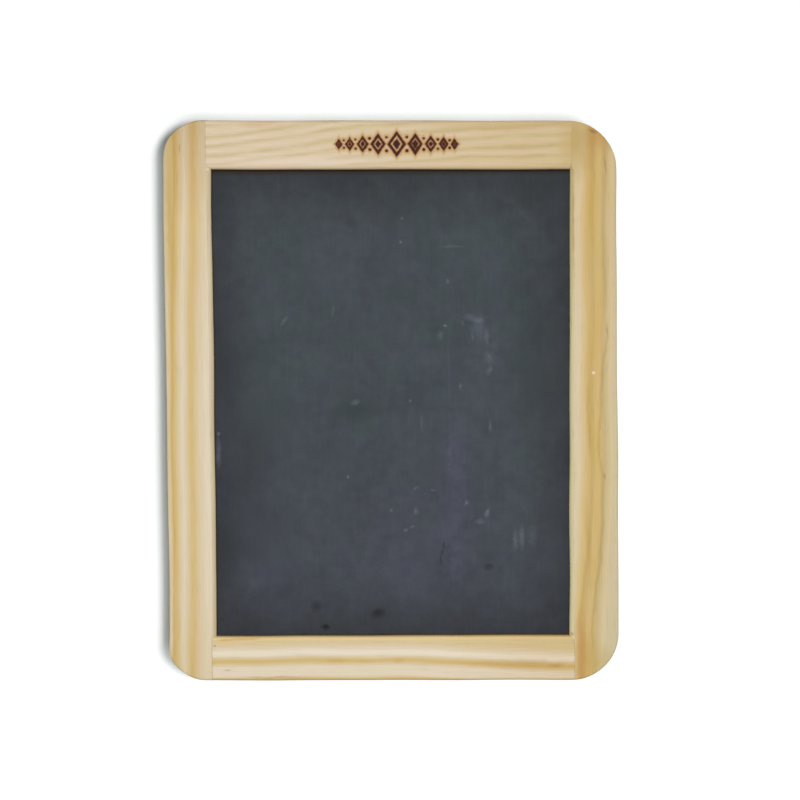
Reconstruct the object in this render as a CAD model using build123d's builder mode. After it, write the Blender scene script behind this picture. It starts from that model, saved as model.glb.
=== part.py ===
"""School slate: a sheet of natural slate held in the grooves of a glued pine frame.

The board lies on its back with the writing face up. X runs to the right and Y to the top edge, as the
board is read, and Z out of the writing face. The origin is under the middle of the board, on the
surface that its back lies on. Sizes are in millimetres.
"""

import os

from build123d import *

# Overall size of the framed board
board_width = 190.0
board_height = 235.0
frame_thickness = 10.0

# Frame members, each from its outer edge to the foot of its inner bevel
stile_width = 20.0
top_rail_width = 20.7
bottom_rail_width = 18.6

# The slate and the groove that holds its edges
slate_thickness = 3.5
slate_hold = 5.0
slate_face_play = 0.15
slate_edge_play = 1.0
slate_edge_chamfer = 0.6

# Bevel along the inner edges of the frame, alike on both faces
bevel_width = 1.7
bevel_depth = 1.0

# Outside corners, each sanded by hand, and the eased edge that runs round the frame
top_left_radius = 17.5
top_right_radius = 19.5
bottom_left_radius = 15.5
bottom_right_radius = 19.0
eased_edge_radius = 1.0

# Lines that the pieces share
half_width = board_width / 2
half_height = board_height / 2
mid_thickness = frame_thickness / 2
groove_width = slate_thickness + 2 * slate_face_play
groove_depth = slate_hold + slate_edge_play

# Planes across the mouldings: their origin is on the outer edge, their local X points to the slate
left_edge = Plane(origin=(-half_width, 0, 0), x_dir=(1, 0, 0), z_dir=(0, -1, 0))
right_edge = Plane(origin=(half_width, 0, 0), x_dir=(-1, 0, 0), z_dir=(0, 1, 0))
top_edge = Plane(origin=(0, half_height, 0), x_dir=(0, -1, 0), z_dir=(-1, 0, 0))
bottom_edge = Plane(origin=(0, -half_height, 0), x_dir=(0, 1, 0), z_dir=(1, 0, 0))


def moulding(outer_edge, width, length):
    """A straight bar of frame stock: bevelled on both faces and grooved along its inner edge."""
    face_width = width - bevel_width
    with BuildPart() as bar:
        with BuildSketch(outer_edge):
            with BuildLine():
                Polyline(
                    (0, 0),
                    (face_width, 0),
                    (width, bevel_depth),
                    (width, frame_thickness - bevel_depth),
                    (face_width, frame_thickness),
                    (0, frame_thickness),
                    close=True,
                )
            make_face()
            with Locations((width - groove_depth / 2, mid_thickness)):
                Rectangle(groove_depth, groove_width, mode=Mode.SUBTRACT)
        extrude(amount=length / 2, both=True)
    return bar.part


def tenon_height(rail_width):
    """Height of a rail's tenon, which is what the rail's own groove leaves of its width."""
    return rail_width - groove_depth


def tenon_slots(outer_edge):
    """The open slots, one in each end of a stile, that the rails' tenons pass through."""
    stile_middle = outer_edge.origin.X + outer_edge.x_dir.X * stile_width / 2
    top_slot = tenon_height(top_rail_width)
    bottom_slot = tenon_height(bottom_rail_width)
    with BuildPart() as slots:
        with Locations((stile_middle, half_height - top_slot / 2, mid_thickness)):
            Box(stile_width, top_slot, groove_width)
        with Locations((stile_middle, -half_height + bottom_slot / 2, mid_thickness)):
            Box(stile_width, bottom_slot, groove_width)
    return slots.part


# Outline that the glued frame is sanded to: four rounded corners and an eased edge on both faces
with BuildPart() as sanded_outline:
    with BuildSketch():
        Rectangle(board_width, board_height)
        for corner, radius in (
            ((-half_width, half_height), top_left_radius),
            ((half_width, half_height), top_right_radius),
            ((-half_width, -half_height), bottom_left_radius),
            ((half_width, -half_height), bottom_right_radius),
        ):
            fillet(vertices().sort_by_distance(corner)[0], radius)
    extrude(amount=frame_thickness)
    rim_edges = edges().group_by(Axis.Z)
    fillet(rim_edges[0] + rim_edges[-1], eased_edge_radius)

# Stiles run the full height, and their ends are slotted for the tenons
with BuildPart() as left_stile:
    add(moulding(left_edge, stile_width, board_height))
    add(tenon_slots(left_edge), mode=Mode.SUBTRACT)
    add(sanded_outline.part, mode=Mode.INTERSECT)
left_stile.part.label = "left_stile"

with BuildPart() as right_stile:
    add(moulding(right_edge, stile_width, board_height))
    add(tenon_slots(right_edge), mode=Mode.SUBTRACT)
    add(sanded_outline.part, mode=Mode.INTERSECT)
right_stile.part.label = "right_stile"

# Rails start as full-width bars. Cutting the stiles out of them leaves a tenon at each end, between
# shoulders that are coped to the stile's bevel
with BuildPart() as top_rail:
    add(moulding(top_edge, top_rail_width, board_width))
    add(left_stile.part, mode=Mode.SUBTRACT)
    add(right_stile.part, mode=Mode.SUBTRACT)
    add(sanded_outline.part, mode=Mode.INTERSECT)
top_rail.part.label = "top_rail"

with BuildPart() as bottom_rail:
    add(moulding(bottom_edge, bottom_rail_width, board_width))
    add(left_stile.part, mode=Mode.SUBTRACT)
    add(right_stile.part, mode=Mode.SUBTRACT)
    add(sanded_outline.part, mode=Mode.INTERSECT)
bottom_rail.part.label = "bottom_rail"

# The slate sits loose in the grooves of all four members, so both of its faces can be written on
slate_width = board_width - 2 * stile_width + 2 * slate_hold
slate_height = board_height - top_rail_width - bottom_rail_width + 2 * slate_hold
slate_middle_y = (bottom_rail_width - top_rail_width) / 2

with BuildPart() as slate_panel:
    with Locations((0, slate_middle_y, mid_thickness)):
        Box(slate_width, slate_height, slate_thickness)
    dressed_edges = edges().group_by(Axis.Z)
    chamfer(dressed_edges[0] + dressed_edges[-1], slate_edge_chamfer)
slate_panel.part.label = "slate_panel"

os.makedirs("parts", exist_ok=True)
for piece in (left_stile, right_stile, top_rail, bottom_rail, slate_panel):
    export_step(piece.part, f"parts/{piece.part.label}.step")
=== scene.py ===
"""Dressed model of a school slate: a sheet of natural slate in a glued frame of sanded pine.

Everything is in metres in the part's own frame: X to the right, Y to the top edge and Z out of the
writing face, with the board lying on its back.
"""

import math

import bmesh
import bpy
import numpy
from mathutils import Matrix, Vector, noise


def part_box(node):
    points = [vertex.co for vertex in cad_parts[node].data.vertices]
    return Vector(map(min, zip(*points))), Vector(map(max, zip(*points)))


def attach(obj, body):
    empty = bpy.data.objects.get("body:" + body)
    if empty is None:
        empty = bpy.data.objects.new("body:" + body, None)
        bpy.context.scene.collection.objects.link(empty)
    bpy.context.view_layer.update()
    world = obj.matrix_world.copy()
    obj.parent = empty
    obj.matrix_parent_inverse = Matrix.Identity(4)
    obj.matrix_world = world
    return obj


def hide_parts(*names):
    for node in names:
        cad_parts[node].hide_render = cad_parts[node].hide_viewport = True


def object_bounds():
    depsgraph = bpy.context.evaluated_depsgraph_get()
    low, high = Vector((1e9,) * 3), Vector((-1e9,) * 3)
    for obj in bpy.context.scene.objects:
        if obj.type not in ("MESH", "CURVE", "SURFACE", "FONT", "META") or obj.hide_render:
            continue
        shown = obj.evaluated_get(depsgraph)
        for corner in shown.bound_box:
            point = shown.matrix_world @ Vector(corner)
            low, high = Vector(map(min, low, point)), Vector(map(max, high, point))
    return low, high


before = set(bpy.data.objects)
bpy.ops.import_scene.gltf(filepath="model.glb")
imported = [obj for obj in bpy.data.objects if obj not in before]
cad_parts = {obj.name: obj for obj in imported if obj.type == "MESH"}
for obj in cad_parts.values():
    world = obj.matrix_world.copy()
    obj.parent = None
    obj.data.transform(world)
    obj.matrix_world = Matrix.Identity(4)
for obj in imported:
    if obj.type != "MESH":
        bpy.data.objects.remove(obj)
cad_low, cad_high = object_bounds()
scene = bpy.context.scene

# Camera: a stills camera held about 0.7 m over the board and looking almost straight down on it,
# a little nearer to the top edge than to the bottom one and turned by a fraction of a degree.
mm = 0.001
camera_lens = 74.9
camera_place_mm = (-2.1, 28.3, 708.0)
camera_turn_degrees = (-2.25, -0.45, -0.265)

camera_data = bpy.data.cameras.new("copy_camera")
camera_data.lens = camera_lens
camera = bpy.data.objects.new("copy_camera", camera_data)
camera.location = Vector(camera_place_mm) * mm
camera.rotation_euler = [math.radians(angle) for angle in camera_turn_degrees]
scene.collection.objects.link(camera)
scene.camera = camera

# Stiles: the two full-height side members of the frame, sawn from pine, moulded with a bevel and a
# groove along the inner edge and slotted at the ends. The frame was glued up a little out of true and
# then sanded by hand all round, which softens every arris and leaves a slight wave.
bevel_width_mm = 1.7
arris_softening = 0.22 * mm
arris_segments = 2
arris_roundness = 0.5
shortest_softened_arris = 1.5 * mm
sharp_arris = math.radians(25)
flat_enough = math.radians(0.3)
weld_distance = 0.0001 * mm
sliver_width = 0.004 * mm
quad_corners = 4
grid_along = 2.0 * mm
grid_across = 1.25 * mm
sanding_wave = 34.0 * mm
sanding_depths = Vector((0.3, 0.3, 0.06)) * mm
sanding_seed = 3
noise.seed_set(sanding_seed)

# Edges and joints that are out of true: the place of each, and how far it is off at places along it
upright_edges_mm = (
    (-95.0, ((-117.5, 0.85), (117.5, -0.35))),
    (-76.7, ((-100.0, 0.1), (-97.5, 0.6), (95.5, -0.5), (98.0, -1.1))),
    (-75.0, ((-117.5, 0.45), (-20.0, 0.25), (30.0, 0.2), (80.0, -0.25), (117.5, -0.4))),
    (75.0, ((-117.5, -0.55), (117.5, -0.25))),
    (76.7, ((-100.0, 0.2), (-97.5, -0.35), (95.5, -0.2), (98.0, -1.4))),
    (95.0, ((-117.5, 0.55), (117.5, -1.1))),
)
level_edges_mm = (
    (-117.5, ((-95.0, 0.2), (95.0, -0.7))),
    (-98.9, ((-95.0, 0.55), (95.0, 0.05))),
    (96.8, ((-95.0, 0.8), (95.0, 0.1))),
    (117.5, ((-95.0, 0.55), (95.0, -0.45))),
)

# Corners that were rounded unevenly: the middle of the arc, its radius, the direction and the
# width of the swelling in degrees, and its height. A swelling fades towards the arc's middle.
corner_swells_mm = (
    (Vector((-77.5, 100.0)), 17.5, 150.0, 18.0, 0.5),
    (Vector((-79.5, -102.0)), 15.5, 205.0, 20.0, 0.75),
    (Vector((76.0, -98.5)), 19.0, 303.0, 32.0, -0.5),
    (Vector((75.5, 98.0)), 19.5, 350.0, 36.0, 0.3),
)
full_turn = 360.0
swell_fade = 3


def cut_across(mesh, axis, step):
    """Cuts a mesh into strips of about one step along an axis."""
    places = [vertex.co[axis] for vertex in mesh.verts]
    start = min(places)
    length = max(places) - start
    count = round(length / step)
    normal = [float(axis == other) for other in range(3)]
    for cut in range(1, count):
        point = [value * (start + length * cut / count) for value in normal]
        bmesh.ops.bisect_plane(
            mesh,
            geom=mesh.verts[:] + mesh.edges[:] + mesh.faces[:],
            dist=weld_distance,
            plane_co=point,
            plane_no=normal,
        )


def cad_mesh(node):
    """Editable copy of a CAD node's mesh, with its triangles joined into flat faces."""
    mesh = bmesh.new()
    mesh.from_mesh(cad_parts[node].data)
    bmesh.ops.remove_doubles(mesh, verts=mesh.verts, dist=weld_distance)
    bmesh.ops.dissolve_limit(
        mesh,
        angle_limit=flat_enough,
        use_dissolve_boundaries=False,
        verts=mesh.verts[:],
        edges=mesh.edges[:],
    )
    return mesh


def sanded_member(node):
    """Mesh of a frame member with softened arrises, cut fine enough to take a hand-sanded surface."""
    mesh = cad_mesh(node)
    arrises = [
        edge
        for edge in mesh.edges
        if edge.calc_face_angle() > sharp_arris and edge.calc_length() > shortest_softened_arris
    ]
    bmesh.ops.bevel(
        mesh,
        geom=arrises,
        offset=arris_softening,
        segments=arris_segments,
        profile=arris_roundness,
        affect="EDGES",
        clamp_overlap=False,
    )
    low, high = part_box(node)
    length_axis = 0 if high.x - low.x > high.y - low.y else 1
    cut_across(mesh, length_axis, grid_along)
    cut_across(mesh, 1 - length_axis, grid_across)
    many_sided = [face for face in mesh.faces if len(face.verts) > quad_corners]
    bmesh.ops.triangulate(mesh, faces=many_sided)
    bmesh.ops.dissolve_degenerate(mesh, dist=sliver_width, edges=mesh.edges[:])
    return mesh


def finish_piece(mesh, name, node, material):
    """Turns a mesh into a piece that stands for its CAD node."""
    for face in mesh.faces:
        face.smooth = True
    for edge in mesh.edges:
        edge.smooth = edge.calc_face_angle(0.0) < sharp_arris
    data = bpy.data.meshes.new(name)
    mesh.to_mesh(data)
    mesh.free()
    data.materials.append(material)
    piece = bpy.data.objects.new(name, data)
    scene.collection.objects.link(piece)
    piece.modifiers.new("flat_faces", "WEIGHTED_NORMAL").keep_sharp = True
    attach(piece, "root")
    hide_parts(node)


def out_of_true(places_mm, along_mm, edges):
    """Shifts in mm of places among edges that are out of true."""
    lines = [numpy.interp(along_mm, *zip(*points)) for _, points in edges]
    shifts = lines[0]
    for (low, _), (high, _), low_line, high_line in zip(edges, edges[1:], lines, lines[1:]):
        shifts = shifts + (high_line - low_line) * numpy.clip((places_mm - low) / (high - low), 0.0, 1.0)
    return shifts


def corner_swell(place_mm):
    """Shift in mm of a place near a corner that was rounded unevenly."""
    shift = Vector((0.0, 0.0))
    for middle, radius, direction, width, height in corner_swells_mm:
        arm = place_mm - middle
        turn = (math.degrees(math.atan2(arm.y, arm.x)) - direction) % full_turn
        turn = min(turn, full_turn - turn)
        swell = math.exp(-((turn / width) ** 2))
        fade = min(1.0, arm.length / radius) ** swell_fade
        shift += arm * (height / radius) * swell * fade
    return shift


def finish_member(mesh, node, material):
    """Sands a member's mesh, with a wave that runs on over the joints, and finishes the member.

    The true places stay on the mesh for the material, and the back stays flat.
    """
    true_layer = mesh.verts.layers.float_vector.new("true_mm")
    places_mm = numpy.array([vertex.co for vertex in mesh.verts]) / mm
    x_shifts = out_of_true(places_mm[:, 0], places_mm[:, 1], upright_edges_mm)
    y_shifts = out_of_true(places_mm[:, 1], places_mm[:, 0], level_edges_mm)
    for vertex, x_shift, y_shift in zip(mesh.verts, x_shifts, y_shifts):
        true_mm = vertex.co / mm
        vertex[true_layer] = true_mm
        vertex.co += noise.noise_vector(vertex.co / sanding_wave) * sanding_depths
        vertex.co.xy += (Vector((x_shift, y_shift)) + corner_swell(true_mm.xy)) * mm
        vertex.co.z = max(vertex.co.z, cad_low.z)
    finish_piece(mesh, f"pine_{node}", node, material)


def linear(code):
    """Linear RGBA of an sRGB hex colour."""
    parts = [int(code[place:place + 2], 16) / 255 for place in (1, 3, 5)]
    return [part / 12.92 if part <= 0.04045 else ((part + 0.055) / 1.055) ** 2.4 for part in parts] + [1.0]


def add_node(tree, kind, inputs=(), **settings):
    """Adds a shader node, sets its properties, and sets or links its inputs by name or number."""
    node = tree.nodes.new(f"ShaderNode{kind}")
    for name, value in settings.items():
        setattr(node, name, value)
    for place, value in dict(inputs).items():
        if isinstance(value, bpy.types.NodeSocket):
            tree.links.new(value, node.inputs[place])
        else:
            node.inputs[place].default_value = value
    return node


# Place of the colour among a Mix node's outputs
mixed_colour = 2

# Sanded pine, unfinished: pale earlywood with honey bands of latewood where the saw met each ring,
# fine fibre streaks along the grain, short resin canals, and a dull surface with hardly any gloss.
# Fibres and canals are drawn coarser than they are, so that they show.
pine_shades = {
    "white": "#e8dcc8",
    "pale": "#e1d3bb",
    "rose": "#e0ccb3",
    "cream": "#dac9a9",
    "fawn": "#cebf9c",
    "straw": "#d7c296",
    "olive": "#cbb88f",
    "honey": "#d4b981",
    "gold": "#cfb271",
    "amber": "#c6a968",
    "umber": "#c5ac76",
}
no_tone = "#ffffff"
end_grain = "#bca886"
joint_soil = "#d8cdb9"
pine_roughness = 0.6
pine_specular = 0.15

# Growth rings: how far they wander and lean, and the patches where they fade, by how much and over
# what length
ring_wander_mm = 1.0
ring_lean = 0.3
wander_width_mm = 14.0
wander_length_mm = 44.0
patch_width_mm = 5.0
patch_span = (0.4, 0.65)
faint_patches = (0.12, 34.0)

# Figure along the grain. Noise mostly keeps to a span round its middle, and its detail is in octaves.
noise_span = (0.25, 0.75)
noise_middle = (0.5, 0.5, 0.5)
plain_noise = 0.0
soft_noise = 2.0
fine_noise = 3.0
fibre_width_mm = 0.45
fibre_length_mm = 22.0
fibre_tones = (0.94, 1.05)
fibre_relief = 0.03 * mm
fibre_relief_strength = 0.6
canal_width_mm = 0.5
canal_length_mm = 9.0
canal_span = (0.68, 0.8)
canal_tones = (1.0, 0.91)
tint_width_mm = 3.0
tint_length_mm = 40.0
pink_tint = (1.025, 0.985, 1.02, 1.0)
green_tint = (0.98, 1.005, 0.92, 1.0)

# Painted light and shade, soil and stains. End grain shows where the surface turns to face along
# the grain, over its span.
bevel_blur_mm = 0.2
rim_shade_width_mm = 1.3
lip_shade_width_mm = 1.0
end_grain_span = (0.4, 0.95)
joint_place_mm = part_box("right_stile")[0].x / mm + bevel_width_mm
joint_half_width_mm = 0.4
spot_depth_mm = 1.0
stain_step_mm = 5.0
stain_reach_mm = 1.6
streak_overlap = 1.7


def along_grain(tree, grain, width_mm, length_mm, detail):
    """Noise drawn out along the grain."""
    scale = (1 / width_mm, 1 / length_mm, 1 / width_mm)
    place = add_node(tree, "VectorMath", {0: grain, 1: scale}, operation="MULTIPLY").outputs[0]
    return add_node(tree, "TexNoise", {"Vector": place, "Scale": 1.0, "Detail": detail}).outputs["Fac"]


def banded(tree, value, bands):
    """Colours that follow one another along a value. Bands are (value, colour)."""
    first = bands[0][0]
    last = bands[-1][0]
    share = add_node(tree, "MapRange", {"Value": value, "From Min": first, "From Max": last}).outputs[0]
    ramp = add_node(tree, "ValToRGB", {0: share})
    stops = ramp.color_ramp.elements
    stops.remove(stops[-1])
    for count, (place, code) in enumerate(bands):
        position = (place - first) / (last - first)
        stop = stops.new(position) if count else stops[0]
        stop.position = position
        stop.color = linear(code)
    return ramp.outputs["Color"]


def toned(tree, colour, pattern, span, tones):
    """Colour made darker and lighter by a pattern: a span of the pattern gives a span of tones."""
    tone = add_node(
        tree,
        "MapRange",
        {
            "Value": pattern,
            "From Min": span[0],
            "From Max": span[1],
            "To Min": tones[0],
            "To Max": tones[1],
        },
    ).outputs[0]
    return add_node(tree, "VectorMath", {0: colour, "Scale": tone}, operation="SCALE").outputs[0]


def spots(tree, place, height_mm, marks):
    """Sum of soft spots on one face, each (x, y, width, length, turn in degrees, strength) in mm."""
    total = 0.0
    for x, y, width, length, turn, strength in marks:
        local = add_node(
            tree,
            "Mapping",
            {
                "Vector": place,
                "Location": (x, y, height_mm),
                "Rotation": (0.0, 0.0, math.radians(turn)),
                "Scale": (width / 2, length / 2, spot_depth_mm),
            },
            vector_type="TEXTURE",
        ).outputs[0]
        spot = add_node(tree, "TexGradient", {"Vector": local}, gradient_type="SPHERICAL").outputs["Fac"]
        total = add_node(
            tree, "Math", {0: spot, 1: strength, 2: total}, operation="MULTIPLY_ADD"
        ).outputs[0]
    return total


def ragged(tree, place, step_mm, reach_mm):
    """Place shifted a little sideways by noise, so that marks drawn on it get ragged edges."""
    shift = add_node(tree, "TexNoise", {"Vector": place, "Scale": 1 / step_mm}).outputs["Color"]
    shift = add_node(tree, "VectorMath", {0: shift, 1: noise_middle}, operation="SUBTRACT").outputs[0]
    reach = (reach_mm, reach_mm, 0.0)
    return add_node(
        tree, "VectorMath", {0: shift, 1: reach, 2: place}, operation="MULTIPLY_ADD"
    ).outputs[0]


def streak(path_mm, width_mm, strength):
    """Long thin spots in a row, each overlapping the next, that follow a path."""
    marks = []
    for (x, y), (next_x, next_y) in zip(path_mm, path_mm[1:]):
        length = math.hypot(next_x - x, next_y - y) * streak_overlap
        turn = math.degrees(math.atan2(x - next_x, next_y - y))
        marks.append(((x + next_x) / 2, (y + next_y) / 2, width_mm, length, turn, strength))
    return marks


def pine_rings(tree, grain, rings, bends, slope, wander_mm, patches):
    """Colour of the growth rings, which lean through the thickness, wander and bend, and fade in patches."""
    inset, run, depth = add_node(tree, "SeparateXYZ", {0: grain}).outputs
    wander = along_grain(tree, grain, wander_width_mm, wander_length_mm, soft_noise)
    ring = add_node(
        tree, "MapRange", {"Value": wander, "To Min": -wander_mm, "To Max": wander_mm}, clamp=False
    ).outputs[0]
    ring = add_node(tree, "Math", {0: ring, 1: inset}, operation="ADD").outputs[0]
    ring = add_node(tree, "Math", {0: depth, 1: -ring_lean, 2: ring}, operation="MULTIPLY_ADD").outputs[0]
    ring = add_node(tree, "Math", {0: run, 1: slope, 2: ring}, operation="MULTIPLY_ADD").outputs[0]
    for start, end, shift in bends:
        bend = add_node(
            tree,
            "MapRange",
            {"Value": run, "From Min": start, "From Max": end, "To Min": 0.0, "To Max": shift},
            interpolation_type="SMOOTHSTEP",
        ).outputs[0]
        ring = add_node(tree, "Math", {0: ring, 1: bend}, operation="ADD").outputs[0]
    colour = banded(tree, ring, [(inset_mm, pine_shades[shade]) for inset_mm, shade in rings])
    most, length_mm = patches
    patch = along_grain(tree, grain, patch_width_mm, length_mm, soft_noise)
    patch = add_node(
        tree,
        "MapRange",
        {"Value": patch, "From Min": patch_span[0], "From Max": patch_span[1], "To Max": most},
    ).outputs[0]
    return add_node(
        tree,
        "Mix",
        {"Factor": patch, "A": colour, "B": linear(pine_shades["cream"])},
        data_type="RGBA",
    ).outputs[mixed_colour]


def pine_figure(tree, grain, colour, fibre):
    """Colour with fibres, resin canals and a slow pink and green tint, all drawn out along the grain."""
    canal = along_grain(tree, grain, canal_width_mm, canal_length_mm, plain_noise)
    tint = along_grain(tree, grain, tint_width_mm, tint_length_mm, soft_noise)
    colour = toned(tree, colour, fibre, noise_span, fibre_tones)
    colour = toned(tree, colour, canal, canal_span, canal_tones)
    tint = add_node(
        tree, "MapRange", {"Value": tint, "From Min": noise_span[0], "From Max": noise_span[1]}
    ).outputs[0]
    tint = add_node(
        tree, "Mix", {"Factor": tint, "A": pink_tint, "B": green_tint}, data_type="RGBA"
    ).outputs[mixed_colour]
    return add_node(tree, "VectorMath", {0: colour, 1: tint}, operation="MULTIPLY").outputs[0]


def sanded_pine(
    node,
    inward,
    rings,
    bends=(),
    slope=0.0,
    wander_mm=ring_wander_mm,
    patches=faint_patches,
    toning=(),
    bevel=None,
    rim=no_tone,
    lip_shade=no_tone,
    stains=(),
):
    """Pine of one member, seen from its outer edge inwards.

    Rings are (mm in from the outer edge, shade), measured on the writing face at the middle of the
    member. Bends are (from, to, shift) and toning is (from, to, colour), in mm along the member.
    Patches are how far the rings fade here and there and over what length. Bevel is the colour of the
    bevel, partly the wood's own and partly painted light and shade; rim and lip are painted shade on
    the outer edge and at the bevel's foot, and stains are (colour, spots).
    """
    material = bpy.data.materials.new(f"sanded_pine_{node}")
    material.use_nodes = True
    tree = material.node_tree
    shader = tree.nodes["Principled BSDF"]
    low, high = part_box(node)
    across = 0 if inward[0] else 1
    width_mm = (high[across] - low[across]) / mm
    outer_edge = [0.0, 0.0, high.z / mm]
    outer_edge[across] = (low if inward[across] > 0 else high)[across] / mm
    along = (abs(inward[1]), abs(inward[0]), 0)
    place = add_node(tree, "Attribute", attribute_name="true_mm").outputs["Vector"]
    from_edge = add_node(tree, "VectorMath", {0: place, 1: outer_edge}, operation="SUBTRACT").outputs[0]
    inset = add_node(
        tree, "VectorMath", {0: from_edge, 1: inward}, operation="DOT_PRODUCT"
    ).outputs["Value"]
    run = add_node(tree, "VectorMath", {0: from_edge, 1: along}, operation="DOT_PRODUCT").outputs["Value"]
    depth = add_node(tree, "SeparateXYZ", {0: from_edge}).outputs["Z"]
    grain = add_node(tree, "CombineXYZ", {0: inset, 1: run, 2: depth}).outputs[0]
    fibre = along_grain(tree, grain, fibre_width_mm, fibre_length_mm, fine_noise)

    colour = pine_rings(tree, grain, rings, bends, slope, wander_mm, patches)
    # The bevel's colour is partly the wood's own and partly painted light and shade, lighter or darker than
    # the face
    if bevel:
        bevel_start = width_mm - bevel_width_mm
        on_bevel = add_node(
            tree,
            "MapRange",
            {
                "Value": inset,
                "From Min": bevel_start - bevel_blur_mm,
                "From Max": bevel_start + bevel_blur_mm,
            },
        ).outputs[0]
        colour = add_node(
            tree, "Mix", {"Factor": on_bevel, "A": colour, "B": linear(bevel)}, data_type="RGBA"
        ).outputs[mixed_colour]
    colour = pine_figure(tree, grain, colour, fibre)

    # Slow changes of tone along the length, painted shade on the outer edge and the bevel's foot, soiling of
    # the rails' joints, and end grain, which drinks light
    layers = [(run, start, end, tone) for start, end, tone in toning]
    layers.append((inset, rim_shade_width_mm, 0.0, rim))
    layers.append((inset, width_mm - lip_shade_width_mm, width_mm, lip_shade))
    if across:
        joint = add_node(tree, "Math", {0: run}, operation="ABSOLUTE").outputs[0]
        joint = add_node(tree, "Math", {0: joint, 1: joint_place_mm}, operation="SUBTRACT").outputs[0]
        joint = add_node(tree, "Math", {0: joint}, operation="ABSOLUTE").outputs[0]
        layers.append((joint, joint_half_width_mm, 0.0, joint_soil))
    normal = add_node(tree, "NewGeometry").outputs["Normal"]
    end_on = add_node(tree, "VectorMath", {0: normal, 1: along}, operation="DOT_PRODUCT").outputs["Value"]
    end_on = add_node(tree, "Math", {0: end_on}, operation="ABSOLUTE").outputs[0]
    layers.append((end_on, *end_grain_span, end_grain))
    for value, start, end, tone in layers:
        amount = add_node(
            tree, "MapRange", {"Value": value, "From Min": start, "From Max": end}
        ).outputs[0]
        colour = add_node(
            tree,
            "Mix",
            {"Factor": amount, "A": colour, "B": linear(tone)},
            data_type="RGBA",
            blend_type="MULTIPLY",
        ).outputs[mixed_colour]
    stain_place = ragged(tree, place, stain_step_mm, stain_reach_mm)
    for tone, marks in stains:
        stain = spots(tree, stain_place, high.z / mm, marks)
        colour = add_node(
            tree, "Mix", {"Factor": stain, "A": colour, "B": linear(tone)}, data_type="RGBA"
        ).outputs[mixed_colour]
    tree.links.new(colour, shader.inputs["Base Color"])
    shader.inputs["Roughness"].default_value = pine_roughness
    shader.inputs["Specular IOR Level"].default_value = pine_specular
    relief = add_node(
        tree, "Bump", {"Strength": fibre_relief_strength, "Distance": fibre_relief, "Height": fibre}
    ).outputs[0]
    tree.links.new(relief, shader.inputs["Normal"])
    return material


# The left stile has two bands of latewood, and its outer edge is stained by handling and, low down,
# carries a paler painted highlight where the eased edge catches light. Stains are a colour and its spots.
dirt = "#6e5636"
chipped_fibre = "#f1e7d4"
painted_rim_light = "#d9c9aa"
rim_wheat = "#cdb27a"
rim_mustard = "#c5a863"
left_stile_rings = (
    (-2.4, "cream"),
    (0.1, "cream"),
    (0.9, "straw"),
    (1.5, "honey"),
    (2.1, "amber"),
    (2.7, "gold"),
    (3.5, "honey"),
    (4.2, "straw"),
    (5.2, "cream"),
    (6.3, "pale"),
    (7.8, "cream"),
    (8.7, "straw"),
    (9.6, "honey"),
    (10.8, "honey"),
    (12.0, "straw"),
    (13.4, "cream"),
    (16.4, "pale"),
    (18.0, "pale"),
    (19.4, "cream"),
)
left_stains = (
    (dirt, ((-87.6, 105.5, 0.9, 5.0, 0.0, 0.45),)),
    (chipped_fibre, ((-75.9, 96.9, 2.6, 1.4, 30.0, 0.9),)),
    # Painted highlight: a paler strip low on the outer edge, standing for light on the eased edge
    (painted_rim_light, ((-94.2, -93.0, 3.2, 66.0, 0.0, 0.9),)),
    (rim_wheat, ((-91.6, -95.0, 3.0, 70.0, 0.0, 0.8),)),
    (rim_mustard, ((-92.3, 80.0, 5.2, 112.0, 0.0, 0.95),)),
)
left_pine = sanded_pine(
    "left_stile",
    (1, 0, 0),
    left_stile_rings,
    bends=((-10.0, 117.0, -2.8), (20.0, -30.0, -0.4), (-40.0, -80.0, 0.5)),
    toning=((5.0, 75.0, "#fdfaf3"), (75.0, 115.0, "#ede7dd"), (-70.0, -115.0, "#f9f5ec")),
    # Painted shade at the bevel's foot
    lip_shade="#e0dac8",
    stains=left_stains,
)
finish_member(sanded_member("left_stile"), "left_stile", left_pine)

# The right stile has one broad band, browner at both ends. A thin line of pitch follows a ring all the
# way down it, faint at first, with two shorter lines of resin beside it.
heartwood = "#bd9658"
lip_tan = "#b99f6c"
end_sand = "#c0a56c"
end_ochre = "#bfa25f"
end_copper = "#b3854a"
ring_corn = "#cdb87f"
rust = "#c08d50"
corner_rust = "#a8602f"
pitch_halo = "#b69b52"
pitch = "#a3823f"
resin = "#ad8f48"
bark = "#86642f"
right_stile_rings = (
    (-1.0, "fawn"),
    (1.6, "fawn"),
    (2.6, "straw"),
    (4.2, "olive"),
    (5.4, "umber"),
    (6.2, "umber"),
    (7.0, "gold"),
    (8.2, "gold"),
    (9.2, "gold"),
    (10.0, "amber"),
    (11.0, "amber"),
    (12.4, "gold"),
    (13.6, "honey"),
    (14.8, "straw"),
    (16.0, "cream"),
    (20.0, "cream"),
)
faint_pitch_line_mm = (
    (89.8, 107.0),
    (90.4, 97.0),
    (89.6, 84.0),
    (89.2, 70.0),
    (89.0, 58.0),
    (89.6, 48.0),
    (90.5, 38.0),
)
pitch_line_mm = (
    (90.8, 33.0),
    (90.6, 25.0),
    (88.8, 16.0),
    (88.2, 5.0),
    (87.6, -6.0),
    (87.0, -16.0),
    (86.8, -23.0),
    (88.3, -31.0),
    (88.5, -39.0),
    (88.4, -50.0),
    (87.8, -60.0),
    (87.1, -69.0),
    (85.4, -81.0),
    (84.2, -95.0),
    (83.7, -107.0),
)
upper_resin_line_mm = ((82.9, 8.0), (82.7, -6.0), (83.2, -22.0))
lower_resin_line_mm = ((83.8, -48.0), (82.4, -64.0), (80.2, -80.0), (79.4, -92.0))
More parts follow.
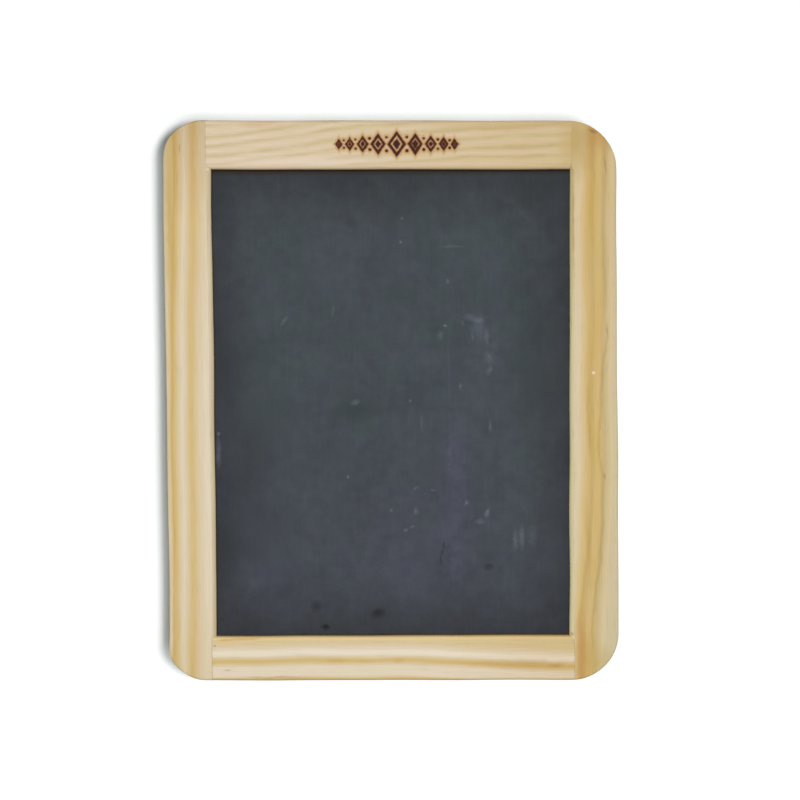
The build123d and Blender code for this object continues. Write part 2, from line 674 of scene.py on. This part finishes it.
right_stains = (
    (lip_tan, ((75.7, 80.0, 3.0, 90.0, 0.0, 1.2),)),
    (end_sand, ((78.0, 110.0, 22.0, 40.0, 0.0, 1.2),)),
    (heartwood, ((79.8, -110.0, 9.0, 46.0, 0.0, 0.7), (85.3, 110.0, 6.0, 40.0, 0.0, 0.8))),
    (rust, ((79.3, -108.0, 4.2, 54.0, 0.0, 0.8), (82.6, -62.0, 3.0, 50.0, 3.0, 0.35))),
    (dirt, ((89.1, -32.0, 0.9, 4.0, 0.0, 0.7), (88.2, -67.0, 0.8, 6.0, 0.0, 0.4))),
    (dirt, ((90.7, 29.5, 0.8, 5.0, 0.0, 0.45),)),
    (pitch_halo, streak(pitch_line_mm, width_mm=3.2, strength=0.24)),
    (pitch, streak(faint_pitch_line_mm, width_mm=1.5, strength=0.16)),
    (pitch, streak(pitch_line_mm, width_mm=1.5, strength=0.28)),
    (resin, streak(upper_resin_line_mm, width_mm=2.2, strength=0.4)),
    (resin, streak(lower_resin_line_mm, width_mm=2.2, strength=0.28)),
    (end_copper, ((88.5, 111.0, 16.0, 16.0, 0.0, 0.6),)),
    (ring_corn, ((87.4, 76.0, 3.0, 90.0, 0.0, 0.55),)),
    (corner_rust, ((75.6, -98.2, 2.2, 2.6, 0.0, 1.2),)),
    (end_ochre, ((86.0, -110.0, 20.0, 18.0, 0.0, 0.6),)),
    (bark, ((85.8, 113.0, 5.0, 2.0, -28.0, 0.8), (90.4, 99.0, 1.2, 10.0, 0.0, 0.4))),
    (chipped_fibre, ((85.0, 11.5, 2.0, 1.6, 0.0, 0.9),)),
)
right_pine = sanded_pine(
    "right_stile",
    (-1, 0, 0),
    right_stile_rings,
    bends=((40.0, -20.0, -0.5), (-30.0, -125.0, -4.4), (75.0, 125.0, 1.6)),
    patches=(0.15, 34.0),
    toning=((20.0, 110.0, "#faf4e6"),),
    # Bevel: partly the wood's colour, partly painted light and shade; lip: painted shade at the bevel's foot
    bevel="#d8cfa7",
    lip_shade="#d0c8b4",
    stains=right_stains,
)
finish_member(sanded_member("right_stile"), "right_stile", right_pine)

# Bottom rail: the narrower cross member of the same pine, tenoned into the stiles and glued, with one
# broad band of latewood along its middle and another along the bevel.
lip_resin = "#cd9c40"
caramel = "#cda465"
toast = "#b98f55"
bottom_rail_rings = (
    (-0.5, "straw"),
    (0.9, "honey"),
    (1.6, "straw"),
    (2.6, "pale"),
    (6.0, "pale"),
    (6.7, "cream"),
    (7.3, "straw"),
    (7.8, "honey"),
    (8.5, "gold"),
    (9.1, "honey"),
    (9.6, "straw"),
    (10.1, "cream"),
    (10.6, "pale"),
    (11.2, "white"),
    (12.4, "white"),
    (13.2, "pale"),
    (14.4, "cream"),
    (16.0, "straw"),
    (21.0, "straw"),
)
lip_resin_line_mm = ((-74.0, -100.7), (-68.0, -100.5), (-63.0, -100.1), (-57.0, -99.9))
bottom_stains = (
    (heartwood, ((69.5, -111.2, 9.0, 2.4, 0.0, 0.7), (58.0, -110.8, 60.0, 5.0, -1.0, 0.6))),
    (lip_resin, streak(lip_resin_line_mm, width_mm=1.5, strength=0.8)),
    (caramel, ((-24.4, -109.2, 11.0, 2.8, 0.0, 0.7), (2.5, -109.2, 7.0, 2.6, 0.0, 0.7))),
    (caramel, ((-11.8, -109.7, 10.0, 1.8, 0.0, 0.5), (38.6, -110.6, 14.0, 1.8, -2.0, 0.4))),
    (toast, ((-48.0, -116.2, 34.0, 1.6, 0.0, 0.6),)),
    (dirt, ((-75.6, -103.0, 1.1, 1.1, 0.0, 0.8), (-70.3, -113.3, 4.5, 0.8, 0.0, 0.5))),
)
bottom_pine = sanded_pine(
    "bottom_rail",
    (0, 1, 0),
    bottom_rail_rings,
    bends=((-10.0, 80.0, 2.9), (-30.0, -80.0, 0.8)),
    toning=((20.0, 80.0, "#f7f1e3"),),
    # Bevel: partly the wood's colour, partly painted light; rim and lip: painted shade on the outer edge and
    # at the bevel's foot
    bevel="#e4cc9a",
    rim="#d8d0c0",
    lip_shade="#8f8066",
    stains=bottom_stains,
)
finish_member(sanded_member("bottom_rail"), "bottom_rail", bottom_pine)

# Slate: a sheet of natural slate, split, rubbed flat and dressed to size, that slid into the grooves
# before the last rail went on. Its faces keep a slight wave, and the writing face has a hairline crack
# and a few pits.
slate_grid = 1.6 * mm
slate_waves = ((42.0 * mm, 0.06 * mm), (13.0 * mm, 0.03 * mm))
slate_wave_margin = 12.0 * mm
square_on = 0.99
facing_up = 0.9
flaw_cuts = 4
flaw_reach_mm = 3.1

# Pits are (x, y, half width, half height, depth)
slate_pits_mm = (
    (40.4, -70.2, 1.7, 1.4, 0.25),
    (-32.5, -86.9, 2.0, 2.0, 0.18),
    (-28.7, -95.5, 1.4, 1.1, 0.3),
    (-6.3, -89.8, 2.3, 2.0, 0.22),
)
crack_path_mm = ((21.8, -59.1), (21.3, -62.7), (20.3, -65.3), (20.2, -69.6))
crack_half_width_mm = 0.45
crack_depth_mm = 0.22
crack_runs_mm = [(Vector(start), Vector(end)) for start, end in zip(crack_path_mm, crack_path_mm[1:])]


def slate_flaw_depth(place):
    """How deep the pits and the crack go at a place on the writing face."""
    spot = place.xy / mm
    depth = 0.0
    for pit_x, pit_y, half_width, half_height, pit_depth in slate_pits_mm:
        reach = math.hypot((spot.x - pit_x) / half_width, (spot.y - pit_y) / half_height)
        depth = max(depth, pit_depth * (1 - reach * reach))
    for start, end in crack_runs_mm:
        run = end - start
        share = (spot - start).dot(run) / run.length_squared
        nearest = start + run * min(max(share, 0.0), 1.0)
        depth = max(depth, crack_depth_mm * (1 - (spot - nearest).length / crack_half_width_mm))
    return depth * mm


slate_low, slate_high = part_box("slate_panel")
slate_mesh = cad_mesh("slate_panel")
for axis in (0, 1):
    lengthwise = [
        edge
        for edge in slate_mesh.edges
        if abs(edge.verts[0].co[axis] - edge.verts[1].co[axis]) > square_on * edge.calc_length()
    ]
    count = round((slate_high[axis] - slate_low[axis]) / slate_grid)
    bmesh.ops.subdivide_edges(slate_mesh, edges=lengthwise, cuts=count - 1, use_grid_fill=True)
flaw_centres = [Vector(pit[:2]) for pit in slate_pits_mm]
for start, end in crack_runs_mm:
    flaw_centres += [start, (start + end) / 2, end]
flawed_edges = {
    edge
    for face in slate_mesh.faces
    if face.normal.z > facing_up
    if min((face.calc_center_median().xy / mm - centre).length for centre in flaw_centres) < flaw_reach_mm
    for edge in face.edges
}
bmesh.ops.subdivide_edges(slate_mesh, edges=list(flawed_edges), cuts=flaw_cuts, use_grid_fill=True)
for vertex in slate_mesh.verts:
    if slate_low.z < vertex.co.z - weld_distance and vertex.co.z + weld_distance < slate_high.z:
        continue
    held = min(
        vertex.co.x - slate_low.x,
        slate_high.x - vertex.co.x,
        vertex.co.y - slate_low.y,
        slate_high.y - vertex.co.y,
    )
    front = vertex.co.z > (slate_low.z + slate_high.z) / 2
    wave = sum(noise.noise(vertex.co / length) * height for length, height in slate_waves)
    sink = slate_flaw_depth(vertex.co) if front else 0.0
    vertex.co.z += wave * min(1.0, held / slate_wave_margin) - sink

# Rubbed slate: dark, fine-grained stone with a matt face, greyed by chalk dust that wiping has left
# everywhere but along the frame, with rub streaks, faint chalk strokes and fine scratches. Grit and
# scratches are drawn coarser than they are, so that they show.
slate_shades = {
    "bare": "#2e3034",
    "green": "#3c4647",
    "violet": "#41434e",
    "haze": "#8488a0",
    "chalk": "#9aa3ae",
    "worn": "#25282a",
    # Painted shade in the pits and the crack
    "flaw_shade": "#131516",
    # Painted shadow under the top rail
    "top_rail_shadow": "#251b12",
}
slate_roughness = 0.7
slate_specular = 0.15
rich_noise = 4.0
grit_mm = 0.6
grit_tones = (0.96, 1.04)
grit_relief = 0.02 * mm
grit_relief_strength = 0.5
mottle_mm = 4.5
mottle_tones = (0.87, 1.13)
cloud_mm = 21.0
cloud_tones = (0.88, 1.12)
rub_width_mm = 1.6
rub_length_mm = 30.0
rub_tones = (0.96, 1.04)
scratch_width_mm = 0.6
scratch_length_mm = 12.0
scratch_span = (0.7, 0.8)
scratch_tones = (1.0, 1.08)
wipe_left_mm = 24.0
wipe_right_mm = 30.0
wipe_top_mm = 34.0
wipe_bottom_mm = 32.0
wipe_overlap = 1 / 3
dust_wobble_mm = 7.0
tint_patch_mm = 9.0
tint_reach_mm = 200.0
tint_wobble_mm = 380.0
ragged_step_mm = 1.9
ragged_reach_mm = 1.3
# Painted shadow on the slate under the top rail: how far it reaches and how strong it is
top_rail_shadow_reach_mm = (0.3, 2.1)
top_rail_shadow_tones = (0.75, 0.0)

# Marks are spots, and grips are how much of a mark the stone's pattern holds at the least and the most
worn_grips = (0.5, 1.5)
haze_grips = (0.1, 1.9)
chalk_grips = (0.3, 1.6)
flaw_shade_grips = (0.8, 1.2)
haze_marks_mm = (
    (38.4, 21.6, 18.0, 38.0, 0.0, 0.06),
    (35.7, 32.2, 16.0, 11.0, -25.0, 0.07),
    (24.4, -10.0, 2.6, 60.0, 0.0, 0.06),
    (26.9, -38.0, 10.0, 86.0, 0.0, 0.05),
    (25.4, -70.0, 11.0, 40.0, 0.0, 0.05),
    (58.9, -56.8, 5.0, 11.0, 0.0, 0.07),
    (56.3, 77.6, 7.0, 7.0, 0.0, 0.1),
    (-73.3, -21.0, 2.8, 16.0, 0.0, 0.18),
)
chalk_marks_mm = (
    (32.9, 35.4, 7.0, 4.0, -8.0, 0.11),
    (36.6, 34.1, 6.4, 3.2, -8.0, 0.15),
    (30.0, 33.0, 2.1, 3.4, 20.0, 0.1),
    (39.9, 26.7, 2.6, 8.0, 0.0, 0.14),
    (40.8, 18.5, 4.6, 6.7, 0.0, 0.1),
    (41.0, 13.2, 3.2, 6.0, -10.0, 0.14),
    (33.9, 27.5, 1.5, 5.5, 8.0, 0.1),
    (22.6, 32.0, 1.8, 1.8, 0.0, 0.36),
    (20.3, 28.0, 3.2, 5.0, 0.0, 0.15),
    (28.8, 6.5, 1.7, 3.8, 0.0, 0.16),
    (9.8, -46.5, 3.0, 4.4, 0.0, 0.16),
    (5.6, -54.3, 2.7, 1.9, 30.0, 0.2),
    (8.1, -53.1, 3.1, 1.7, 25.0, 0.2),
    (31.2, -42.9, 2.2, 3.6, -35.0, 0.2),
    (40.0, -47.2, 2.8, 5.4, -10.0, 0.26),
    (36.9, -50.9, 5.6, 2.8, 0.0, 0.14),
    (51.9, -58.8, 3.2, 11.4, 0.0, 0.16),
    (54.5, -57.4, 3.2, 13.4, 0.0, 0.18),
    (9.9, -36.5, 3.8, 1.7, 25.0, 0.14),
    (17.1, -37.4, 2.5, 1.5, 0.0, 0.14),
    (23.5, 50.5, 1.8, 3.4, 10.0, 0.14),
    (25.3, 65.2, 13.0, 1.6, 0.0, 0.1),
    (3.9, 66.9, 1.8, 1.8, 0.0, 0.22),
    (4.4, 77.2, 1.4, 1.6, 0.0, 0.2),
    (-15.6, -0.2, 5.0, 3.0, 20.0, 0.18),
    (7.6, 0.3, 1.6, 1.6, 0.0, 0.24),
    (-18.8, -31.7, 1.4, 1.8, 0.0, 0.24),
    (-0.7, -45.9, 1.6, 2.2, 0.0, 0.2),
    (-45.4, 34.0, 1.6, 6.0, -40.0, 0.16),
    (-73.3, -13.3, 1.8, 2.4, 0.0, 0.28),
    (41.3, -10.7, 1.8, 6.6, 4.0, 0.15),
    (12.4, -9.1, 1.8, 10.0, 0.0, 0.08),
    (-24.8, 38.1, 1.6, 6.0, -10.0, 0.1),
)
tint_marks_mm = (
    (-54.0, 8.0, 46.0, 70.0, 0.0, 0.25),
    (61.0, 10.0, 44.0, 150.0, 0.0, 0.25),
    (-15.0, -4.0, 34.0, 26.0, 0.0, 0.35),
    (21.0, 29.0, 16.0, 18.0, 0.0, 0.35),
    (-14.0, 66.0, 52.0, 46.0, 0.0, -0.35),
    (8.0, -60.0, 70.0, 66.0, 0.0, -0.3),
    (-57.0, -83.0, 46.0, 40.0, 0.0, -0.3),
    (26.0, -30.0, 18.0, 124.0, 0.0, -0.45),
)
worn_marks_mm = (
    (-15.0, -3.5, 30.0, 9.0, 4.0, 0.35),
    (-17.0, 75.0, 7.0, 6.0, 0.0, 0.4),
    (-71.0, 17.0, 15.0, 46.0, 0.0, 0.4),
    (-71.0, -59.0, 15.0, 34.0, 0.0, 0.4),
    (62.0, 8.0, 30.0, 60.0, 0.0, 0.25),
    (-9.0, -90.0, 18.0, 12.0, 0.0, 0.35),
    (40.0, -66.0, 12.0, 9.0, 0.0, 0.3),
    (-56.0, -12.0, 40.0, 56.0, 0.0, 0.32),
    (-56.0, -55.0, 40.0, 46.0, 0.0, 0.32),
    (-63.0, 29.0, 26.0, 44.0, 0.0, 0.25),
    (67.0, 92.0, 42.0, 28.0, 0.0, 0.3),
)
# Painted shade over the pits and along the crack, a little wider than they are
flaw_shade_marks_mm = (
    (40.4, -70.2, 6.0, 4.0, 0.0, 0.65),
    (-28.7, -95.5, 5.0, 3.6, 0.0, 1.2),
    (-6.3, -89.8, 8.0, 5.4, 15.0, 1.0),
    (-32.5, -86.9, 6.0, 6.4, 0.0, 0.6),
    (21.6, -60.9, 0.9, 4.6, -6.0, 0.8),
    (20.8, -64.0, 0.9, 3.6, -21.0, 0.8),
    (20.2, -67.5, 0.9, 5.0, 0.0, 0.7),
)

slate_material = bpy.data.materials.new("rubbed_slate")
slate_material.use_nodes = True
slate_tree = slate_material.node_tree
slate_shader = slate_tree.nodes["Principled BSDF"]
slate_place = add_node(slate_tree, "TexCoord").outputs["Object"]
slate_place = add_node(
    slate_tree, "VectorMath", {0: slate_place, "Scale": 1 / mm}, operation="SCALE"
).outputs[0]
cloud = along_grain(slate_tree, slate_place, cloud_mm, cloud_mm, rich_noise)
mottle = along_grain(slate_tree, slate_place, mottle_mm, mottle_mm, rich_noise)
grit = along_grain(slate_tree, slate_place, grit_mm, grit_mm, soft_noise)
rub = along_grain(slate_tree, slate_place, rub_width_mm, rub_length_mm, fine_noise)
scratch = along_grain(slate_tree, slate_place, scratch_width_mm, scratch_length_mm, plain_noise)

# The wiping hand stops short of the frame, by a different distance on each side
opening_low = Vector((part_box("left_stile")[1].x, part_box("bottom_rail")[1].y, 0)) / mm
opening_high = Vector((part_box("right_stile")[0].x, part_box("top_rail")[0].y, 0)) / mm
from_low = add_node(
    slate_tree, "VectorMath", {0: slate_place, 1: opening_low}, operation="SUBTRACT"
).outputs[0]
from_high = add_node(
    slate_tree, "VectorMath", {0: opening_high, 1: slate_place}, operation="SUBTRACT"
).outputs[0]
from_left, from_bottom, _ = add_node(slate_tree, "SeparateXYZ", {0: from_low}).outputs
from_right, from_top, _ = add_node(slate_tree, "SeparateXYZ", {0: from_high}).outputs
wobble = add_node(
    slate_tree, "MapRange", {"Value": cloud, "To Min": -dust_wobble_mm, "To Max": dust_wobble_mm}
).outputs[0]
wiped = 1.0
for distance, wipe_mm in (
    (from_left, wipe_left_mm),
    (from_right, wipe_right_mm),
    (from_top, wipe_top_mm),
    (from_bottom, wipe_bottom_mm),
):
    distance = add_node(slate_tree, "Math", {0: distance, 1: wobble}, operation="ADD").outputs[0]
    clear = add_node(
        slate_tree,
        "MapRange",
        {"Value": distance, "From Min": -wipe_mm * wipe_overlap, "From Max": wipe_mm},
        interpolation_type="SMOOTHSTEP",
    ).outputs[0]
    wiped = add_node(slate_tree, "Math", {0: clear, 1: wiped}, operation="MULTIPLY").outputs[0]

# The stone is a greener grey at the top and a more violet one at the bottom, with patches of both
height = add_node(slate_tree, "SeparateXYZ", {0: slate_place}).outputs["Y"]
tint_patch = along_grain(slate_tree, slate_place, tint_patch_mm, tint_patch_mm, fine_noise)
height = add_node(
    slate_tree, "Math", {0: tint_patch, 1: tint_wobble_mm, 2: height}, operation="MULTIPLY_ADD"
).outputs[0]
greenness = add_node(
    slate_tree,
    "MapRange",
    {
        "Value": height,
        "From Min": tint_wobble_mm / 2 - tint_reach_mm,
        "From Max": tint_wobble_mm / 2 + tint_reach_mm,
    },
).outputs[0]
slate_face_mm = slate_high.z / mm
tint_marks = spots(slate_tree, slate_place, slate_face_mm, tint_marks_mm)
greenness = add_node(
    slate_tree, "Math", {0: greenness, 1: tint_marks}, operation="ADD", use_clamp=True
).outputs[0]
slate_colour = add_node(
    slate_tree,
    "Mix",
    {"Factor": greenness, "A": linear(slate_shades["violet"]), "B": linear(slate_shades["green"])},
    data_type="RGBA",
).outputs[mixed_colour]
slate_colour = add_node(
    slate_tree,
    "Mix",
    {"Factor": wiped, "A": linear(slate_shades["bare"]), "B": slate_colour},
    data_type="RGBA",
).outputs[mixed_colour]

# Clouds, mottling, rub streaks, grit and scratches each vary the tone, by 13 percent at most
for pattern, span, tones in (
    (cloud, noise_span, cloud_tones),
    (mottle, noise_span, mottle_tones),
    (rub, noise_span, rub_tones),
    (grit, noise_span, grit_tones),
    (scratch, scratch_span, scratch_tones),
):
    slate_colour = toned(slate_tree, slate_colour, pattern, span, tones)

# Chalk sits in the grit, and dust and wear in the mottling, all with ragged edges. Pits and the crack
# get painted shade, and a painted shadow lies along the slate under the top rail.
ragged_place = ragged(slate_tree, slate_place, ragged_step_mm, ragged_reach_mm)
for shade, marks, pattern, grips in (
    ("worn", worn_marks_mm, mottle, worn_grips),
    ("haze", haze_marks_mm, mottle, haze_grips),
    ("chalk", chalk_marks_mm, grit, chalk_grips),
    ("flaw_shade", flaw_shade_marks_mm, mottle, flaw_shade_grips),
):
    amount = spots(slate_tree, ragged_place, slate_face_mm, marks)
    grip = add_node(
        slate_tree,
        "MapRange",
        {
            "Value": pattern,
            "From Min": noise_span[0],
            "From Max": noise_span[1],
            "To Min": grips[0],
            "To Max": grips[1],
        },
    ).outputs[0]
    amount = add_node(
        slate_tree, "Math", {0: amount, 1: grip}, operation="MULTIPLY", use_clamp=True
    ).outputs[0]
    slate_colour = add_node(
        slate_tree,
        "Mix",
        {"Factor": amount, "A": slate_colour, "B": linear(slate_shades[shade])},
        data_type="RGBA",
    ).outputs[mixed_colour]
# Painted shadow along the slate under the top rail
top_rail_shadow = add_node(
    slate_tree,
    "MapRange",
    {
        "Value": from_top,
        "From Min": top_rail_shadow_reach_mm[0],
        "From Max": top_rail_shadow_reach_mm[1],
        "To Min": top_rail_shadow_tones[0],
        "To Max": top_rail_shadow_tones[1],
    },
).outputs[0]
slate_colour = add_node(
    slate_tree,
    "Mix",
    {"Factor": top_rail_shadow, "A": slate_colour, "B": linear(slate_shades["top_rail_shadow"])},
    data_type="RGBA",
).outputs[mixed_colour]
slate_tree.links.new(slate_colour, slate_shader.inputs["Base Color"])
slate_shader.inputs["Roughness"].default_value = slate_roughness
slate_shader.inputs["Specular IOR Level"].default_value = slate_specular
slate_relief = add_node(
    slate_tree, "Bump", {"Strength": grit_relief_strength, "Distance": grit_relief, "Height": grit}
).outputs[0]
slate_tree.links.new(slate_relief, slate_shader.inputs["Normal"])
finish_piece(slate_mesh, "slate_sheet", "slate_panel", slate_material)

# Top rail: the last member on, of pine and wider than the bottom one, cut so that its rings cross the
# face as soft slanting streaks. A plain row of lozenges is burnt into the middle of its face.
rim_khaki = "#c6a96f"
rim_apricot = "#cf9f6a"
lip_blush = "#e7d4c2"
ring_slant_degrees = 3.0

# Each streak fades into pale wood over a short stretch, and the pale wood ends before the next streak
streak_fade_mm = 1.6
streak_end_mm = 2.6
top_rail_streaks_mm = (-9.4, -5.2, -1.4, 3.1, 6.8, 11.2, 14.9, 19.4, 23.2, 27.8)
top_rail_rings = [
    ring
    for start_mm in top_rail_streaks_mm
    for ring in (
        (start_mm, "olive"),
        (start_mm + streak_fade_mm, "rose"),
        (start_mm + streak_end_mm, "rose"),
    )
]
top_stains = (
    (rim_khaki, ((45.0, 115.4, 74.0, 5.5, 0.0, 0.6), (76.0, 108.0, 16.0, 34.0, 0.0, 0.9))),
    (rim_apricot, ((-54.0, 115.6, 24.0, 3.4, 2.0, 0.5),)),
    (lip_blush, ((-36.0, 100.0, 96.0, 6.0, 1.0, 0.8),)),
)
top_pine = sanded_pine(
    "top_rail",
    (0, -1, 0),
    top_rail_rings,
    bends=((-85.0, 15.0, 5.5),),
    slope=math.tan(math.radians(ring_slant_degrees)),
    wander_mm=2.2,
    patches=(0.75, 16.0),
    toning=((-60.0, 65.0, "#f4eedc"),),
    # Bevel: partly the wood's colour, partly painted light; rim and lip: painted shade on the outer edge and
    # at the bevel's foot
    bevel="#ecd9bc",
    rim="#dcd8d2",
    lip_shade="#b0a083",
    stains=top_stains,
)

# The ornament: lozenges that shrink from the middle of the row to its ends, with a dot above and
# below each gap, pressed in with a hot iron that was not quite even
ornament_middle_mm = (2.7, 107.4)
lozenge_steps = 4
lozenge_half_width_mm = 3.9
lozenge_half_height_mm = 5.6
lozenge_shrink = 0.82
lozenge_gap_mm = 0.6
lozenge_line_mm = 1.15
lozenge_core = 0.42
dot_radius_mm = 0.6
dot_height = 0.62
burn_depth = 0.2 * mm
burn_slope_mm = 0.3
burn_margin_mm = 1.0
burn_cuts = 5
scorch_reach_mm = 3.0
scorch_rough_mm = 0.2
scorch_grain_mm = 0.9
iron_patchy_mm = 0.2
iron_patch_mm = 7.0
iron_tilt = 0.009

lozenges = []
dots = []
row_end_mm = 0.0
for step in range(lozenge_steps + 1):
    half_width = lozenge_half_width_mm * lozenge_shrink ** step
    half_height = lozenge_half_height_mm * lozenge_shrink ** step
    if step:
        dots.append((row_end_mm + lozenge_gap_mm / 2, half_height * dot_height))
        row_end_mm += lozenge_gap_mm + half_width
    lozenges.append((row_end_mm, half_width, half_height))
    row_end_mm += half_width


def ornament_distance(x_mm, y_mm):
    """Distance in mm from a place on the face to the nearest edge of the ornament, less inside it."""
    x_mm = abs(x_mm - ornament_middle_mm[0])
    y_mm = abs(y_mm - ornament_middle_mm[1])
    distance = scorch_reach_mm
    for middle, half_width, half_height in lozenges:
        slant = half_width * half_height / math.hypot(half_width, half_height)
        level = abs(x_mm - middle) / half_width + y_mm / half_height
        rim = abs((level - 1) * slant + lozenge_line_mm / 2) - lozenge_line_mm / 2
        core = (level - lozenge_core) * slant
        distance = min(distance, rim, core)
    for middle, height in dots:
        distance = min(distance, math.hypot(x_mm - middle, y_mm - height) - dot_radius_mm)
    return distance


top_mesh = sanded_member("top_rail")
burn_half_length_mm = row_end_mm + scorch_reach_mm
burn_half_height_mm = lozenge_half_height_mm + burn_margin_mm
burn_edges = {
    edge
    for face in top_mesh.faces
    if face.normal.z > square_on
    if abs(face.calc_center_median().x / mm - ornament_middle_mm[0]) < burn_half_length_mm
    if abs(face.calc_center_median().y / mm - ornament_middle_mm[1]) < burn_half_height_mm
    for edge in face.edges
}
bmesh.ops.subdivide_edges(top_mesh, edges=list(burn_edges), cuts=burn_cuts, use_grid_fill=True)
scorch_layer = top_mesh.verts.layers.float.new("scorch_mm")
for vertex in top_mesh.verts:
    vertex[scorch_layer] = scorch_reach_mm
    if vertex.co.z > cad_high.z - arris_softening:
        distance = ornament_distance(vertex.co.x / mm, vertex.co.y / mm)
        distance += noise.noise(vertex.co / (scorch_grain_mm * mm)) * scorch_rough_mm
        distance += noise.noise(vertex.co / (iron_patch_mm * mm)) * iron_patchy_mm
        distance += max(0.0, ornament_middle_mm[0] - vertex.co.x / mm) * iron_tilt
        vertex[scorch_layer] = distance
        vertex.co.z -= burn_depth * min(max(-distance / burn_slope_mm, 0.0), 1.0)

# Burnt pine: charred brown where the iron pressed, with a red-brown rim where the wood only toasted
# and a yellow halo where it was only warmed
scorch_bands_mm = (
    (-0.6, "#1f0804"),
    (-0.3, "#3b190a"),
    (0.0, "#6d3716"),
    (0.3, "#b9854a"),
    (1.6, "#d6bd83"),
)
halo_span_mm = (0.3, 1.6)
halo_tones = (0.75, 0.0)
top_tree = top_pine.node_tree
top_shader = top_tree.nodes["Principled BSDF"]
bare_pine = top_shader.inputs["Base Color"].links[0].from_socket
scorch = add_node(top_tree, "Attribute", attribute_name="scorch_mm").outputs["Fac"]
halo = add_node(
    top_tree,
    "MapRange",
    {
        "Value": scorch,
        "From Min": halo_span_mm[0],
        "From Max": halo_span_mm[1],
        "To Min": halo_tones[0],
        "To Max": halo_tones[1],
    },
).outputs[0]
charred = add_node(
    top_tree,
    "MapRange",
    {"Value": scorch, "From Min": halo_span_mm[0], "From Max": 0.0},
).outputs[0]
burnt = add_node(top_tree, "Math", {0: halo, 1: charred}, operation="MAXIMUM").outputs[0]
scorched = banded(top_tree, scorch, scorch_bands_mm)
top_colour = add_node(
    top_tree, "Mix", {"Factor": burnt, "A": bare_pine, "B": scorched}, data_type="RGBA"
).outputs[mixed_colour]
top_tree.links.new(top_colour, top_shader.inputs["Base Color"])
finish_member(top_mesh, "top_rail", top_pine)

# Studio: a white table top, a soft lamp over the top edge of the board, and two lamps at the right that
# only the table takes light from, so that the board's shadow falls to the left. The room gives a weak
# even fill, and the table is plain white around the shadow, which a faint cool sheen lifts.
table_half = 1.5
table_reflectance = 0.86
table_lift = 0.09
table_sheen = "#bff4ff"
room_white = "#ffffff"
table_shade_radius = (0.22, 0.4)
fill_share = 0.12

# Lamps: lean to the right and to the top, spread, share of the light, and whether the table takes it
studio_lamps = (
    ("board_lamp", -2.0, 10.0, 26.0, 0.85, "EXCLUDE"),
    ("side_lamp", 29.0, -0.5, 20.5, 0.64, "INCLUDE"),
    ("low_lamp", 16.5, -21.5, 23.5, 0.35, "INCLUDE"),
)

table_data = bpy.data.meshes.new("table_top")
table_corners = [(x * table_half, y * table_half, 0) for x, y in ((-1, -1), (1, -1), (1, 1), (-1, 1))]
table_data.from_pydata(table_corners, [], [(0, 1, 2, 3)])
table = bpy.data.objects.new("table_top", table_data)
scene.collection.objects.link(table)


def seen_rays(tree):
    """1 for rays that show a surface to the eye, straight or by a reflection or through glass."""
    rays = add_node(tree, "LightPath").outputs
    seen = rays["Is Camera Ray"]
    for ray in ("Is Glossy Ray", "Is Transmission Ray"):
        seen = add_node(tree, "Math", {0: seen, 1: rays[ray]}, operation="MAXIMUM").outputs[0]
    return seen


table_material = bpy.data.materials.new("white_table")
table_material.use_nodes = True
table_tree = table_material.node_tree
table_tree.nodes.clear()
seen = seen_rays(table_tree)
table_grey = (table_reflectance, table_reflectance, table_reflectance, 1.0)
matte = add_node(table_tree, "BsdfDiffuse", {"Color": table_grey}).outputs[0]
lift = add_node(table_tree, "Math", {0: seen, 1: table_lift}, operation="MULTIPLY").outputs[0]
glow = add_node(table_tree, "Emission", {"Color": linear(table_sheen), "Strength": lift}).outputs[0]
lifted = add_node(table_tree, "AddShader", {0: matte, 1: glow}).outputs[0]
plain = add_node(table_tree, "Emission", {"Strength": 1.0}).outputs[0]
table_place = add_node(table_tree, "TexCoord").outputs["Object"]
reach = add_node(table_tree, "VectorMath", {0: table_place}, operation="LENGTH").outputs["Value"]
far = add_node(
    table_tree,
    "MapRange",
    {"Value": reach, "From Min": table_shade_radius[0], "From Max": table_shade_radius[1]},
    interpolation_type="SMOOTHSTEP",
).outputs[0]
far = add_node(table_tree, "Math", {0: far, 1: seen}, operation="MULTIPLY").outputs[0]
surface = add_node(table_tree, "MixShader", {0: far, 1: lifted, 2: plain}).outputs[0]
add_node(table_tree, "OutputMaterial", {"Surface": surface})
table_data.materials.append(table_material)

for name, lean_right, lean_top, spread, share, table_link in studio_lamps:
    aim = Vector((math.tan(math.radians(lean_right)), math.tan(math.radians(lean_top)), 1.0)).normalized()
    lamp_data = bpy.data.lights.new(name, "SUN")
    lamp_data.angle = math.radians(spread)
    lamp_data.energy = share * math.pi / aim.z
    lamp = bpy.data.objects.new(name, lamp_data)
    lamp.location = aim
    lamp.rotation_euler = aim.to_track_quat("Z", "Y").to_euler()
    scene.collection.objects.link(lamp)
    receivers = bpy.data.collections.new(f"{name}_receivers")
    receivers.objects.link(table)
    receivers.collection_objects[0].light_linking.link_state = table_link
    lamp.light_linking.receiver_collection = receivers

world = bpy.data.worlds.new("white_room")
world.use_nodes = True
scene.world = world
world_tree = world.node_tree
strength = add_node(
    world_tree, "MapRange", {"Value": seen_rays(world_tree), "To Min": fill_share, "To Max": 1.0}
).outputs[0]
world_tree.nodes["Background"].inputs["Color"].default_value = linear(room_white)
world_tree.links.new(strength, world_tree.nodes["Background"].inputs["Strength"])
scene.view_settings.view_transform = "Standard"
